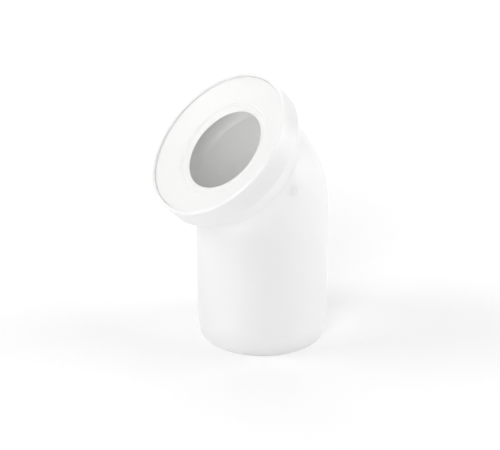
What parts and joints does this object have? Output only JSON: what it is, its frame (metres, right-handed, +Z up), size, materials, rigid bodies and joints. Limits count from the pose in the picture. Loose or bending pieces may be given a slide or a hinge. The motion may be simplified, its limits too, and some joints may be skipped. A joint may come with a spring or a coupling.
{
  "type": "toilet pan connector",
  "caption": "Angled white toilet pan connector: a plain spigot, a short bend and a wide socket whose soft funnel lip seals round the toilet's outlet.",
  "frame": {"origin": "centre of the spigot's end, on the surface that the connector stands on", "axes": "+Z up the spigot's axis; the socket leans towards -Y and faces up and out that way; the YZ plane is the plane of symmetry"},
  "size_m": [0.132, 0.1461, 0.2251],
  "materials": {
    "white_plastic": "glossy moulded white polypropylene",
    "white_rubber": "matt, slightly warm white soft rubber"
  },
  "bodies": {
    "root": {"elbow_body": "white_plastic", "lip_seal": "white_rubber"}
  },
  "joints": []
}
